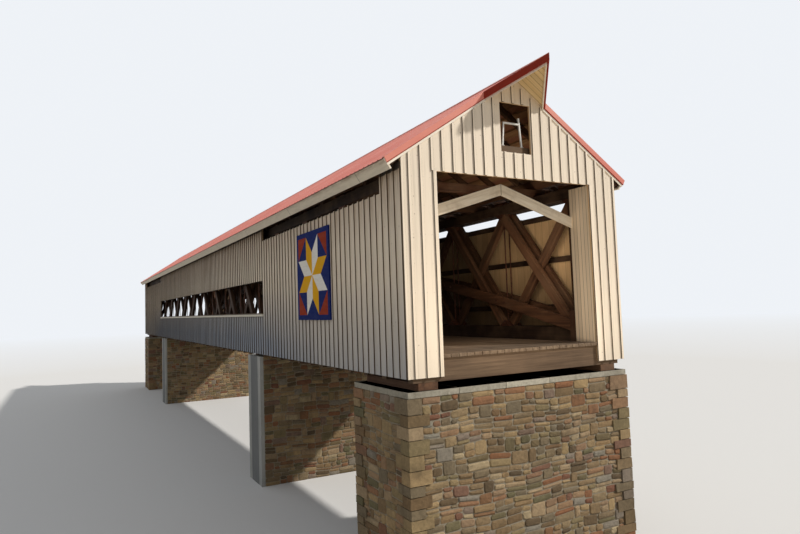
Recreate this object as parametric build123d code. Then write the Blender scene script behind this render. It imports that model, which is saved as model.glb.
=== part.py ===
"""Covered bridge, half-size model: two arch-braced Howe trusses under a pointed-hood roof.

Millimetres of the half-size model. +Z is up, +Y runs along the roadway from the near portal
to the far one, +X is to the right of someone who enters by the near portal. The origin is
below the middle of the bridge, at the foot of the stonework.
"""
from build123d import *
import math
import os

# Overall sizes
width = 3100
length = 23600
foot_depth = 2325

# Stonework
abutment_length = 1270
abutment_seat_drop = 130
pier_thickness = 800
pier_projection = 5
pier_center_inset = 5780

# Side boards and what nails them
board = 24
girt_thickness = 50
girt_height = 75
girt_block_length = 120
section_inset = 5115
corner_strip = 465
gap_sill = 1990
wall_top = 2240
window_sill = 707
window_head = 1296
bottom_girt_rise = 60
sill_cap_thickness = 18
sill_apron_thickness = 24
sill_apron_depth = 39
sill_nosing = 6

# Floor
floor_beam_width = 100
floor_beam_depth = 240
floor_beam_drop = 50
floor_beams_per_panel = 3
deck_thickness = 40
bed_timber_end = 30

# Trusses
panels = 16
post_width = 100
stick = 66
rod_diameter = 19
rod_clearance = 1
lower_chord_depth = 220
lower_chord_inset = 150
upper_chord_rise = 2080
upper_chord_depth = 140
brace_depth = 130
block_land = 12
washer_length = 80
washer_thickness = 12
rod_sides = 6

# Arch ribs
rib_thickness = 60
rib_depth = 150
rib_springing = 440
rib_rise = 1430
cheek_rise = 110

# Portals
door_head = 2173
return_depth = 340
frame_post = 100
frame_post_gap = 10
header_apex = 2170
header_end = 1814
header_depth = 134
gable_window_width = 440
gable_window_sill = 2471
gable_window_head = 3054

# Roof
eave_rise = 2269
roof_angle_degrees = 33.465
eave_overhang = 195
rake_overhang = 24
hood_reach = 617
hood_half_width = 453
sheet_thickness = 12
lath_thickness = 25
lath_width = 80
laths_per_slope = 10
lath_ridge_inset = 60
lath_eave_inset = 40
rafter_depth = 75
rafter_width = 50
rafters_per_panel = 3
tie_beam_width = 100
tie_beam_depth = 110
plate_width = 100
fascia_thickness = 20
fascia_inset = 8
fascia_depth = 130
rake_board_depth = 100
soffit_thickness = 12
ridge_cap_half_width = 100
ridge_cap_thickness = 8

# Panel on the left wall, and what stands behind the near gable window
quilt_side = 1240
quilt_thickness = 36
quilt_center_inset = 2550
quilt_center_rise = 1226
ledge_top = 2565
ledge_half_length = 430
ledge_thickness = 30
ledge_setback = 36
bracket_bar = 20
bracket_top_width = 250
bracket_foot_width = 300
bracket_height = 285
bracket_horn = 65

# Places worked out from those sizes
half_width = width / 2
near = -length / 2
far = length / 2
base = foot_depth
wall_inner = half_width - board
girt_inner = wall_inner - girt_thickness
rod_gap = rod_diameter + 2 * rod_clearance
chord_outer = girt_inner - rib_thickness
chord_width = 3 * stick + 2 * rod_gap
chord_inner = chord_outer - chord_width
clear_half = chord_inner - rib_thickness
beam_bottom = base - floor_beam_drop
beam_top = beam_bottom + floor_beam_depth
deck_top = beam_top + deck_thickness
lower_chord_top = beam_top + lower_chord_depth
upper_chord_bottom = base + upper_chord_rise
upper_chord_top = upper_chord_bottom + upper_chord_depth
tie_beam_top = upper_chord_top + tie_beam_depth
post_near = near + return_depth
post_far = post_near + post_width
first_node = post_far - block_land / 2
panel = (length - 2 * (first_node - near)) / panels
nodes_y = [first_node + panel * k for k in range(panels + 1)]
stick_inner_faces = [chord_inner + k * (stick + rod_gap) for k in range(3)]
rod_centers = [x + stick + rod_gap / 2 for x in stick_inner_faces[:2]]
roof_pitch = math.tan(math.radians(roof_angle_degrees))
slope_length = math.hypot(1, roof_pitch)
sheet_drop = sheet_thickness * slope_length
lath_drop = sheet_drop + lath_thickness * slope_length
rafter_drop = lath_drop + rafter_depth * slope_length
eave_x = half_width + eave_overhang
ridge_rise = eave_rise + roof_pitch * eave_x
fascia_outer = eave_x - fascia_inset
rafter_end = fascia_outer - (fascia_thickness + roof_pitch * lath_thickness) / slope_length


def block(x0, x1, y0, y1, z0, z1):
    """A squared timber or wall between two corners."""
    size = Box(abs(x1 - x0), abs(y1 - y0), abs(z1 - z0))
    return Pos((x0 + x1) / 2, (y0 + y1) / 2, (z0 + z1) / 2) * size


def prism(points, direction):
    """The solid that a flat outline of 3D points sweeps along one direction."""
    outline = Wire.make_polygon([Vector(*p) for p in points], close=True)
    return Solid.extrude(Face(outline), Vector(*direction))


def along_x(points, x0, x1):
    """An outline of (y, z) points, swept between two values of x."""
    return prism([(x0, y, z) for y, z in points], (x1 - x0, 0, 0))


def along_y(points, y0, y1):
    """An outline of (x, z) points, swept between two values of y."""
    return prism([(x, y0, z) for x, z in points], (0, y1 - y0, 0))


def along_z(points, z0, z1):
    """An outline of (x, y) points, swept between two heights."""
    return prism([(x, y, z0) for x, y in points], (0, 0, z1 - z0))


def left(solid):
    """The same piece on the other side of the roadway."""
    return solid.mirror(Plane.YZ)


def opposite(solid):
    """The same piece at the far portal."""
    return solid.mirror(Plane.XZ)


def both_sides(solids):
    return solids + [left(s) for s in solids]


def both_ends(solids):
    return solids + [opposite(s) for s in solids]


def roof_z(x):
    """Height of the roof's top face over a place across the bridge."""
    return base + ridge_rise - roof_pitch * abs(x)


def chevron(x0, x1, drop_top, drop_bottom, cut=0):
    """Section (x, z) of a layer of the roof, from x0 to x1, by its drops below the top face.

    cut is how much nearer to the ridge its two lower corners are than the upper ones.
    """
    ridge = [0] if x0 < 0 < x1 else []
    upper = [(x, roof_z(x) - drop_top) for x in [x0] + ridge + [x1]]
    lower = [(x, roof_z(x) - drop_bottom) for x in [x1 - cut] + ridge + [x0 + cut]]
    return upper + lower


def square_cut(depth):
    """The cut that makes the ends of a layer of this depth square to the slope."""
    return depth * roof_pitch / slope_length


# Stonework and floor

def abutments():
    seat = base - abutment_seat_drop
    return both_ends([block(-half_width, half_width, near, near + abutment_length, 0, seat)])


def piers():
    half = pier_thickness / 2
    center = near + pier_center_inset
    end = half_width + pier_projection
    return both_ends([block(-end, end, center - half, center + half, 0, beam_bottom)])


def bed_timbers():
    """Timbers on the abutments that carry the floor beams under the chords."""
    y0 = near + board
    y1 = near + abutment_length - bed_timber_end
    timber = block(chord_inner, chord_outer, y0, y1, base - abutment_seat_drop, beam_bottom)
    return both_ends(both_sides([timber]))


def floor_beams():
    """Cross timbers under the chords, clear of the rods at the panel points, and one at each portal."""
    step = panel / floor_beams_per_panel
    count = panels * floor_beams_per_panel
    centers = [first_node + step * (k + 0.5) for k in range(count)]
    half = floor_beam_width / 2
    beams = [block(-girt_inner, girt_inner, y - half, y + half, beam_bottom, beam_top) for y in centers]
    y0 = near + board
    portal_beam = block(-girt_inner, girt_inner, y0, y0 + floor_beam_width, beam_bottom, beam_top)
    return beams + both_ends([portal_beam])


def deck():
    return [block(-clear_half, clear_half, near, far, beam_top, deck_top)]


# Trusses, made for the right side and mirrored

def chord(y0, y1, z0, z1):
    """Three sticks with gaps between them for the rods."""
    return [block(x, x + stick, y0, y1, z0, z1) for x in stick_inner_faces]


def lower_chord():
    return chord(near + lower_chord_inset, far - lower_chord_inset, beam_top, lower_chord_top)


def upper_chord():
    return chord(near + board, far - board, upper_chord_bottom, upper_chord_top)


def brace_foot():
    """Length and height of an angle block's sloping face, square to the braces that it carries."""
    run = panel - block_land
    rise = upper_chord_bottom - lower_chord_top
    angle = math.atan2(rise, run)
    for _ in range(20):
        angle = math.atan2(rise - brace_depth * math.cos(angle), run - brace_depth * math.sin(angle))
    return brace_depth * math.sin(angle), brace_depth * math.cos(angle)


foot_run, foot_rise = brace_foot()


def brace_outline(k, toward_far):
    """Outline (y, z) of the brace in panel k that rises toward the far portal, or the near one."""
    low, high = (nodes_y[k], nodes_y[k + 1]) if toward_far else (nodes_y[k + 1], nodes_y[k])
    way = 1 if toward_far else -1
    start = low + way * block_land / 2
    end = high - way * block_land / 2
    return [(start + way * foot_run, lower_chord_top), (end, upper_chord_bottom - foot_rise),
            (end - way * foot_run, upper_chord_bottom), (start, lower_chord_top + foot_rise)]


def main_braces():
    """Pairs of braces that rise toward midspan, in line with the outer and inner sticks."""
    pieces = []
    for k in range(panels):
        outline = brace_outline(k, k < panels / 2)
        for x in (stick_inner_faces[0], stick_inner_faces[2]):
            pieces.append(along_x(outline, x, x + stick))
    return pieces


def counter_braces():
    """Single braces that cross between the main pairs."""
    x = stick_inner_faces[1]
    return [along_x(brace_outline(k, k >= panels / 2), x, x + stick) for k in range(panels)]


def angle_block(y, z, up):
    """Block at a panel point, on the lower chord or under the upper one."""
    half = block_land / 2
    tip = z + up * foot_rise
    outline = [(y - half - foot_run, z), (y + half + foot_run, z), (y + half, tip), (y - half, tip)]
    return along_x(outline, chord_inner, chord_outer)


def end_block(z, up):
    """Half block between the near end post and a chord."""
    outline = [(post_far, z), (post_far + foot_run, z), (post_far, z + up * foot_rise)]
    return along_x(outline, chord_inner, chord_outer)


def rod(x, y):
    """Rod of few sides between the outer faces of its washer plates."""
    radius = rod_diameter / 2
    turn = 2 * math.pi / rod_sides
    outline = [(x + radius * math.cos(turn * (k + 0.5)), y + radius * math.sin(turn * (k + 0.5)))
               for k in range(rod_sides)]
    return along_z(outline, beam_top - washer_thickness, upper_chord_top + washer_thickness)


def washer(y, z0, z1):
    return block(chord_inner, chord_outer, y - washer_length / 2, y + washer_length / 2, z0, z1)


def truss_iron():
    """Angle blocks, rod pairs and their washer plates: one joined piece at each inner panel point."""
    pieces = []
    for y in nodes_y[1:-1]:
        piece = angle_block(y, lower_chord_top, 1) + angle_block(y, upper_chord_bottom, -1)
        piece += washer(y, beam_top - washer_thickness, beam_top)
        piece += washer(y, upper_chord_top, upper_chord_top + washer_thickness)
        for x in rod_centers:
            piece += rod(x, y)
        pieces.append(piece)
    ends = [end_block(lower_chord_top, 1), end_block(upper_chord_bottom, -1)]
    return pieces + both_ends(ends)


def rib_height(y, offset):
    """Height of the curve that the ribs follow, over a place along the bridge; 0 is their middle line."""
    half_span = -post_far
    radius = (half_span ** 2 + rib_rise ** 2) / (2 * rib_rise)
    middle = base + rib_springing + rib_rise - radius
    return middle + offset + math.sqrt(radius ** 2 - y ** 2)


def arch():
    """Two ribs, one on each face of the truss, from end post to end post.

    Each rib is sawn timbers in a row, with their butt joints at the panel points.
    """
    half = rib_depth / 2
    joints = [post_far] + nodes_y[1:-1] + [-post_far]
    pieces = []
    for y0, y1 in zip(joints, joints[1:]):
        outline = [(y0, rib_height(y0, -half)), (y1, rib_height(y1, -half)),
                   (y1, rib_height(y1, half)), (y0, rib_height(y0, half))]
        for x in (clear_half, chord_outer):
            pieces.append(along_x(outline, x, x + rib_thickness))
    return pieces


def end_post():
    """Post between the chords, with cheeks beside the lower chord that the ribs butt against."""
    cheek_top = base + rib_springing + rib_depth / 2 + cheek_rise
    cheeks = block(clear_half, girt_inner, post_near, post_far, beam_top, cheek_top)
    post = block(chord_inner, chord_outer, post_near, post_far, lower_chord_top, upper_chord_bottom)
    slot = block(chord_inner, chord_outer, post_near, post_far, beam_top, lower_chord_top)
    return cheeks + post - slot


def frame_posts():
    """Portal frame: a corner post and a door post on the portal's floor beam."""
    y0 = near + board
    y1 = y0 + frame_post
    corner = block(chord_outer + frame_post_gap, wall_inner, y0, y1, beam_top, base + wall_top)
    door = block(clear_half + board, clear_half + board + frame_post, y0, y1, beam_top, upper_chord_bottom)
    return [corner, door]


def posts():
    return both_ends(both_sides([end_post()] + frame_posts()))


# Side walls, made for the right side and mirrored

def wall_near():
    """Boards of the end section: full height at the corner, lower under the eave gap."""
    outline = [(near + board, base), (near + section_inset, base),
               (near + section_inset, base + gap_sill), (near + corner_strip, base + gap_sill),
               (near + corner_strip, base + wall_top), (near + board, base + wall_top)]
    return [along_x(outline, wall_inner, half_width)]


def wall_far():
    return [opposite(s) for s in wall_near()]


def wall_middle():
    """Boards under and over the long window."""
    y0 = near + section_inset
    y1 = far - section_inset
    lower = block(wall_inner, half_width, y0, y1, base, base + window_sill)
    upper = block(wall_inner, half_width, y0, y1, base + window_head, base + wall_top)
    return [lower, upper]


def window_sills():
    """Cap board over the lower boards, and an apron board under it on their outer face."""
    y0 = near + section_inset
    y1 = far - section_inset
    z = base + window_sill
    face = half_width + sill_apron_thickness
    cap = block(wall_inner, face + sill_nosing, y0, y1, z, z + sill_cap_thickness)
    apron = block(half_width, face, y0, y1, z - sill_apron_depth, z)
    return both_sides([cap, apron])


def blocks_behind_girt(z0):
    """Blocks that carry one girt on the main braces, where the outer arch rib is not in the way."""
    pieces = []
    center_z = z0 + girt_height / 2
    share = (center_z - lower_chord_top) / (upper_chord_bottom - lower_chord_top)
    half = girt_block_length / 2
    for k in range(panels):
        low, high = (nodes_y[k], nodes_y[k + 1]) if k < panels / 2 else (nodes_y[k + 1], nodes_y[k])
        y = low + (high - low) * share
        clear = min(abs(rib_height(y + side * half, 0) - center_z) for side in (-1, 0, 1))
        if clear > rib_depth / 2 + girt_height:
            pieces.append(block(chord_outer, girt_inner, y - half, y + half, z0, z0 + girt_height))
    return pieces


blocked_girts = (base + window_sill - girt_height, base + window_head, base + gap_sill - girt_height)


def girts():
    """Rails that the side boards are nailed to, at four heights."""
    y0 = near + board + frame_post
    y1 = far - board - frame_post
    heights = (base + bottom_girt_rise,) + blocked_girts
    return [block(girt_inner, wall_inner, y0, y1, z0, z0 + girt_height) for z0 in heights]


def girt_blocks():
    """Blocks between the main braces and the three upper girts."""
    return both_sides([b for z0 in blocked_girts for b in blocks_behind_girt(z0)])


# Portals, made for the near end and mirrored

def portal_jambs():
    jamb = block(clear_half, half_width, near, near + board, base, base + door_head)
    return both_ends(both_sides([jamb]))


def gable():
    """Boards over the doorway up to the roof laths, with the square window cut through."""
    foot = base + door_head
    outline = [(-half_width, foot), (half_width, foot)]
    outline += [(x, roof_z(x) - lath_drop) for x in (half_width, 0, -half_width)]
    half = gable_window_width / 2
    opening = block(-half, half, near - board, near + 2 * board,
                    base + gable_window_sill, base + gable_window_head)
    return along_y(outline, near, near + board) - opening


def portal_returns():
    """Boards that line the doorway inward to the end posts."""
    panel_right = block(clear_half, clear_half + board, near + board, post_near, beam_top, base + door_head)
    return both_ends(both_sides([panel_right]))


def portal_headers():
    """Peaked boards between the inner ends of the returns."""
    top = [(-clear_half, base + header_end), (0, base + header_apex), (clear_half, base + header_end)]
    outline = top + [(x, z - header_depth) for x, z in reversed(top)]
    return both_ends([along_y(outline, post_near - board, post_near)])


# Roof

def tie_beams():
    """Cross beams on the upper chords at mid-panel, and one behind each gable."""
    half = tie_beam_width / 2
    centers = [(a + b) / 2 for a, b in zip(nodes_y, nodes_y[1:])]
    beams = [block(-chord_outer, chord_outer, y - half, y + half, upper_chord_top, tie_beam_top)
             for y in centers]
    y0 = near + board
    gable_beam = block(-chord_outer, chord_outer, y0, y0 + tie_beam_width, upper_chord_top, tie_beam_top)
    return beams + both_ends([gable_beam])


def rafter_plates():
    """Plates on the tie beams, bevelled to the rafters."""
    middle = (chord_inner + chord_outer) / 2
    x0 = middle - plate_width / 2
    x1 = middle + plate_width / 2
    outline = [(x0, tie_beam_top), (x1, tie_beam_top),
               (x1, roof_z(x1) - rafter_drop), (x0, roof_z(x0) - rafter_drop)]
    return both_sides([along_y(outline, near + board, far - board)])


def rafters():
    """Pairs of rafters joined at the ridge, spaced evenly between the gables."""
    outline = chevron(-rafter_end, rafter_end, lath_drop, rafter_drop, square_cut(rafter_depth))
    count = panels * rafters_per_panel
    first = near + board
    last = far - board - rafter_width
    step = (last - first) / count
    return [along_y(outline, first + step * k, first + step * k + rafter_width) for k in range(count + 1)]


hood_slant = (hood_reach - rake_overhang) / hood_half_width
hood_inner_reach = hood_reach - rake_overhang * math.hypot(1, hood_slant)
hood_inner_half = hood_inner_reach / hood_slant


def roof_laths():
    """Spaced boards under the roof sheets; those near the ridge run out into the hoods."""
    first = lath_ridge_inset
    last = rafter_end - lath_eave_inset - lath_width
    step = (last - first) / (laths_per_slope - 1)
    pieces = []
    for k in range(laths_per_slope):
        x = first + step * k
        reach = max(0, hood_inner_reach - hood_slant * (x + lath_width))
        pieces.append(along_y(chevron(x, x + lath_width, sheet_drop, lath_drop), near - reach, far + reach))
    return both_sides(pieces)


def roof_outline():
    """Half of the roof seen from above, with its pointed hoods, right of the ridge."""
    half = [(0, near - hood_reach), (hood_half_width, near - rake_overhang), (eave_x, near - rake_overhang)]
    return half + [(x, -y) for x, y in reversed(half)]


def roof_sheet():
    section = along_y(chevron(0, eave_x, 0, sheet_drop), near - hood_reach, far + hood_reach)
    return section & along_z(roof_outline(), 0, roof_z(0))


def ridge_cap():
    reach = ridge_cap_half_width
    outline = [(x, z) for x, z in chevron(-reach, reach, -ridge_cap_thickness, 0)]
    cap = along_y(outline, near - hood_reach, far + hood_reach)
    plan = along_z(roof_outline(), 0, 2 * roof_z(0))
    return cap & (plan + left(plan))


def hood_soffits():
    """Boards under each pointed hood."""
    layer = along_y(chevron(-hood_half_width, hood_half_width, lath_drop, lath_drop + soffit_thickness),
                    near - hood_reach, near)
    triangle = [(0, near - hood_inner_reach), (hood_inner_half, near), (-hood_inner_half, near)]
    return both_ends([layer & along_z(triangle, 0, roof_z(0))])


def rake_boards():
    """Boards under the roof's edge, up each gable and round its pointed hood."""
    cut = square_cut(rake_board_depth / slope_length)
    layer = along_y(chevron(-eave_x, eave_x, sheet_drop, sheet_drop + rake_board_depth, cut),
                    near - hood_reach, near)
    outer = [(0, near - hood_reach), (hood_half_width, near - rake_overhang), (eave_x, near - rake_overhang)]
    inner = [(eave_x, near), (hood_inner_half, near), (0, near - hood_inner_reach)]
    plan = along_z(outer + inner, 0, roof_z(0))
    return both_ends([layer & (plan + left(plan))])


def eave_fascias():
    """Boards on the square-cut ends of the rafters."""
    inner = fascia_outer - fascia_thickness / slope_length
    outline = [(x, roof_z(x) - sheet_drop) for x in (inner, fascia_outer)]
    outline += [(x - square_cut(fascia_depth), z - fascia_depth / slope_length) for x, z in reversed(outline)]
    return both_sides([along_y(outline, near, far)])


# Panel on the left wall, and what stands behind the gable windows

def quilt_panel():
    half = quilt_side / 2
    y = near + quilt_center_inset
    z = base + quilt_center_rise
    return [block(-half_width - quilt_thickness, -half_width, y - half, y + half, z - half, z + half)]


def gable_ledges():
    """Boards on edge on the gables' tie beams, behind the foot of the gable windows."""
    y0 = near + board + ledge_setback
    ledge = block(-ledge_half_length, ledge_half_length, y0, y0 + ledge_thickness, tie_beam_top, base + ledge_top)
    return both_ends([ledge])


def gable_bracket():
    """Two splayed legs on the near ledge, with a bar across them; the right leg runs on above it."""
    foot = base + ledge_top
    top = foot + bracket_height
    horn = top + bracket_horn
    lean = (bracket_foot_width - bracket_top_width) / 2 / bracket_height

    def outer(z):
        return bracket_foot_width / 2 - lean * (z - foot)

    def leg(side, z1):
        return [(side * outer(foot), foot), (side * outer(z1), z1),
                (side * (outer(z1) - bracket_bar), z1), (side * (outer(foot) - bracket_bar), foot)]

    low = top - bracket_bar
    bar = [(-outer(low), low), (outer(low), low), (outer(top), top), (-outer(top), top)]
    y0 = near + board + ledge_setback + (ledge_thickness - bracket_bar) / 2
    parts = [along_y(outline, y0, y0 + bracket_bar) for outline in (leg(-1, top), leg(1, horn), bar)]
    return [parts[0] + parts[1] + parts[2]]


def mirrored(solids):
    return [left(s) for s in solids]


pieces = {
    "abutments": abutments(),
    "piers": piers(),
    "bed_timbers": bed_timbers(),
    "floor_beams": floor_beams(),
    "deck": deck(),
    "lower_chord_right": lower_chord(),
    "lower_chord_left": mirrored(lower_chord()),
    "upper_chord_right": upper_chord(),
    "upper_chord_left": mirrored(upper_chord()),
    "main_braces_right": main_braces(),
    "main_braces_left": mirrored(main_braces()),
    "counter_braces_right": counter_braces(),
    "counter_braces_left": mirrored(counter_braces()),
    "truss_iron_right": truss_iron(),
    "truss_iron_left": mirrored(truss_iron()),
    "arch_right": arch(),
    "arch_left": mirrored(arch()),
    "posts": posts(),
    "right_wall_near": wall_near(),
    "right_wall_middle": wall_middle(),
    "right_wall_far": wall_far(),
    "left_wall_near": mirrored(wall_near()),
    "left_wall_middle": mirrored(wall_middle()),
    "left_wall_far": mirrored(wall_far()),
    "window_sills": window_sills(),
    "girts_right": girts(),
    "girts_left": mirrored(girts()),
    "girt_blocks": girt_blocks(),
    "portal_jambs": portal_jambs(),
    "gable_near": [gable()],
    "gable_far": [opposite(gable())],
    "portal_returns": portal_returns(),
    "portal_headers": portal_headers(),
    "tie_beams": tie_beams(),
    "rafter_plates": rafter_plates(),
    "rafters": rafters(),
    "roof_laths": roof_laths(),
    "roof_right": [roof_sheet()],
    "roof_left": mirrored([roof_sheet()]),
    "ridge_cap": [ridge_cap()],
    "hood_soffits": hood_soffits(),
    "rake_boards": rake_boards(),
    "eave_fascias": eave_fascias(),
    "quilt_panel": quilt_panel(),
    "gable_ledges": gable_ledges(),
    "gable_bracket": gable_bracket(),
}

os.makedirs("parts", exist_ok=True)
for name, solids in pieces.items():
    flat = [s for piece in solids for s in piece.solids()]
    export_step(Compound(flat), f"parts/{name}.step")
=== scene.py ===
"""Covered bridge: boards, battens, roof metal, masonry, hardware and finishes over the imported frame.

Metres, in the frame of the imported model. +Y runs along the roadway from the near portal to the far
one, +X is to the right of someone who enters by the near portal, and +Z is up from the foot of the
piers. The bridge is the same at both ends and on both sides, apart from the painted panel.
"""
import fnmatch
import math
import random
from functools import partial, partialmethod

import bpy
from mathutils import Matrix, Vector


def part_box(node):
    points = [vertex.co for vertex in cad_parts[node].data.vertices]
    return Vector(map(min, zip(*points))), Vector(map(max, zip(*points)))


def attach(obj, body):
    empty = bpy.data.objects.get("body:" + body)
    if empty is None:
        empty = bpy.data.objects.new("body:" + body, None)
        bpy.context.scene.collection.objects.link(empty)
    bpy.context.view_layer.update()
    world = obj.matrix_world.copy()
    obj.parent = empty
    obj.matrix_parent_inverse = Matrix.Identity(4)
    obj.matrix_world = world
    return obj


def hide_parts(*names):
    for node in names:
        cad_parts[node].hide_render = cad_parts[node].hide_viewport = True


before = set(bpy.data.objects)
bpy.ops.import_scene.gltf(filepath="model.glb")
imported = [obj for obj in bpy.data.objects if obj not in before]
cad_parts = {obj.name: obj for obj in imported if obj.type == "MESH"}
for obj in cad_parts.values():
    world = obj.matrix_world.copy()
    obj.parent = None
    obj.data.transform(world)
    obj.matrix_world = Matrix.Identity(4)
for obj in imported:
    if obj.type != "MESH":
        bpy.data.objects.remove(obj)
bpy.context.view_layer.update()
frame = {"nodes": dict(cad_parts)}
nodes = frame["nodes"]

# Places read from the frame
gable_low, gable_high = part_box("gable_near")
wall_low, wall_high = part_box("left_wall_middle")
sill_low, sill_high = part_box("window_sills")
deck_low, deck_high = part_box("deck")
iron_low, iron_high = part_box("truss_iron_right")
panel_low, panel_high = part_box("quilt_panel")
bracket_low, bracket_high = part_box("gable_bracket")
roof_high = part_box("roof_right")[1]
pier_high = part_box("piers")[1]
abutment_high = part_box("abutments")[1]
arch_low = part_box("arch_right")[0]

half_width = gable_high.x
half_length = -gable_low.y
base = wall_low.z
wall_top = wall_high.z
door_head = gable_low.z
door_half = deck_high.x
apron_foot = sill_low.z
window_end = sill_high.y
eave_x = roof_high.x
fascia_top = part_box("eave_fascias")[1].z
ridge_z = roof_high.z
hood_reach = roof_high.y - half_length

# Sizes that the boxes don't give
roof_angle = math.radians(33.465)
roof_pitch = math.tan(roof_angle)
sheet_drop = 0.012 / math.cos(roof_angle)
soffit_drop = 0.049 / math.cos(roof_angle)
rake_overhang = 0.024
hood_half = 0.453
corner_strip = 0.465
gap_sill = base + 1.990
window_head = base + 1.296
sill_cap = 0.0185
gable_window_half = 0.220
gable_window_sill = base + 2.471
gable_window_head = base + 3.054
header_slope = math.atan2(0.356, 1.116)
brace_slope = math.atan2(1.54, 1.30)
abutment_length = 1.270
pier_inset = 5.780
pier_half = 0.400
pier_corner = 0.060
first_node = 0.434
panel_count = 16

random.seed(17)


def roof_z(x):
    """Height of the roof's top face over a place across the bridge."""
    return ridge_z - roof_pitch * abs(x)


# Shader nodes

def shader_node(tree, kind, output, inputs, **settings):
    """One output of a new node, with its settings made and its inputs fed by number or name."""
    node = tree.nodes.new("ShaderNode" + kind)
    for name, setting in settings.items():
        setattr(node, name, setting)
    for key, value in inputs.items():
        if isinstance(value, Value):
            tree.links.new(value.socket, node.inputs[key])
        else:
            node.inputs[key].default_value = value
    return Value(tree, node.outputs[output])


class Value:
    """What one socket of a node gives, to reckon with as with a number."""

    def __init__(self, tree, socket):
        self.tree = tree
        self.socket = socket

    def math(self, operation, other=0.0):
        return shader_node(self.tree, "Math", 0, {0: self, 1: other}, operation=operation)

    __add__ = partialmethod(math, "ADD")
    __sub__ = partialmethod(math, "SUBTRACT")
    __mul__ = partialmethod(math, "MULTIPLY")
    __truediv__ = partialmethod(math, "DIVIDE")
    __abs__ = partialmethod(math, "ABSOLUTE")
    __lt__ = partialmethod(math, "LESS_THAN")
    __gt__ = partialmethod(math, "GREATER_THAN")

    def between(self, low, high, to_low=0.0, to_high=1.0):
        """The value carried from one range into another, and held there."""
        inputs = {"Value": self, "From Min": low, "From Max": high, "To Min": to_low, "To Max": to_high}
        return shader_node(self.tree, "MapRange", "Result", inputs)

    def mixed(self, share, other, blend="MIX"):
        """This colour with a share of another one laid over it."""
        inputs = {0: share, 6: self, 7: colour(other)}
        return shader_node(self.tree, "Mix", 2, inputs, data_type="RGBA", blend_type=blend)

    def shaded(self, amount):
        """This colour made lighter or darker by a value around 1."""
        grey = shader_node(self.tree, "CombineXYZ", 0, {0: amount, 1: amount, 2: amount})
        return self.mixed(1.0, grey, "MULTIPLY")


palette = {}


class Finish:
    """A procedural material of the palette, with short calls for the nodes that the finishes share."""

    def __init__(self, name, roughness, metallic=0.0, specular=0.4):
        palette[name] = self.material = bpy.data.materials.new(name)
        self.material.use_nodes = True
        self.tree = self.material.node_tree
        self.bsdf = self.tree.nodes["Principled BSDF"]
        surface = self.bsdf.inputs
        surface["Roughness"].default_value = roughness
        surface["Metallic"].default_value = metallic
        surface["Specular IOR Level"].default_value = specular
        self.place = self.node("TexCoord", "Object", {})
        split = self.node("SeparateXYZ", 0, {0: self.place}).socket.node
        self.x, self.y, self.z = (Value(self.tree, output) for output in split.outputs)

    def node(self, kind, output, inputs, **settings):
        return shader_node(self.tree, kind, output, inputs, **settings)

    def joined(self, x, y, z):
        return self.node("CombineXYZ", 0, {0: x, 1: y, 2: z})

    def noise(self, scale, detail=5.0, rough=0.6, vector=None):
        """Noise over a place, drawn out along the axes on which a scale of three numbers is small."""
        vector = vector or self.place
        if isinstance(scale, tuple):
            vector = self.node("Mapping", 0, {"Vector": vector, "Scale": scale})
            scale = 1.0
        inputs = {"Vector": vector, "Scale": scale, "Detail": detail, "Roughness": rough}
        return self.node("TexNoise", "Fac", inputs)

    def random_of(self, value):
        return self.node("TexWhiteNoise", "Value", {"W": value}, noise_dimensions="1D")

    def plain(self, shade):
        """One colour, to lay others over."""
        value = self.node("RGB", 0, {})
        value.socket.default_value = colour(shade)
        return value

    def ramp(self, value, *stops):
        """Colours along a value, from stops of a place, red, green and blue."""
        shades = self.node("ValToRGB", "Color", {"Fac": value})
        elements = shades.socket.node.color_ramp.elements
        while len(elements) < len(stops):
            elements.new(0.5)
        for element, (place, *shade) in zip(elements, stops):
            element.position = place
            element.color = colour(shade)
        return shades

    def paint(self, shade, relief=None, depth=0.0, strength=1.0):
        """Gives the material its colour and relief."""
        self.tree.links.new(shade.socket, self.bsdf.inputs["Base Color"])
        if relief:
            inputs = {"Strength": strength, "Distance": depth, "Height": relief}
            self.tree.links.new(self.node("Bump", "Normal", inputs).socket, self.bsdf.inputs["Normal"])


def colour(shade):
    """A colour for a shader socket, from another node or picked as it looks, 0 to 255."""
    if isinstance(shade, Value):
        return shade
    channels = [c / 255 for c in shade]
    linear = [c / 12.92 if c <= 0.04045 else ((c + 0.055) / 1.055) ** 2.4 for c in channels]
    return (*linear, 1.0)


# Paint, wood, metal and stone

cream = (241, 225, 203)
grime = (150, 138, 116)
old_timber = (108, 74, 52)
dark_timber = (58, 38, 27)
rust_iron = (96, 58, 42)
nail_row = 0.305
nail_share = 0.3
on_face = 0.002


def from_middle(along, pitch, phase):
    """Distance of a place from the middle line of its board, as a share of the board."""
    return abs(((along - phase) / pitch).math("FRACT") - 0.5)


def joint_line(along, pitch, phase, width):
    """1 on the joints between boards and 0 on the boards."""
    return from_middle(along, pitch, phase).between(0.5 - width / pitch, 0.5 - width / pitch / 3)


def nail_dots(along, height, pitch, phase):
    """1 on the heads of two nails a board, in level rows."""
    across = (from_middle(along, pitch, phase) - nail_share) * pitch
    above = ((height / nail_row).math("FRACT") - 0.5) * nail_row
    return (across * across + above * above).between(0.000012, 0.000004)


def damp_share(finish):
    """How damp a side wall is: most at its foot and under the long window, and twice as much on the left."""
    distance = abs(finish.y)
    rising = finish.z.between(base + 1.1, base, 0.0, 0.70)
    under = (finish.z < apron_foot + 0.001) * (distance < window_end)
    beside = finish.z.between(base + 1.25, base + 0.25) * distance.between(window_end + 2.8, window_end)
    share = rising + under.math("MAXIMUM", beside) * 0.46
    return (share * finish.x.between(-1.0, 1.0, 1.0, 0.5)).between(0, 1)


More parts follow.
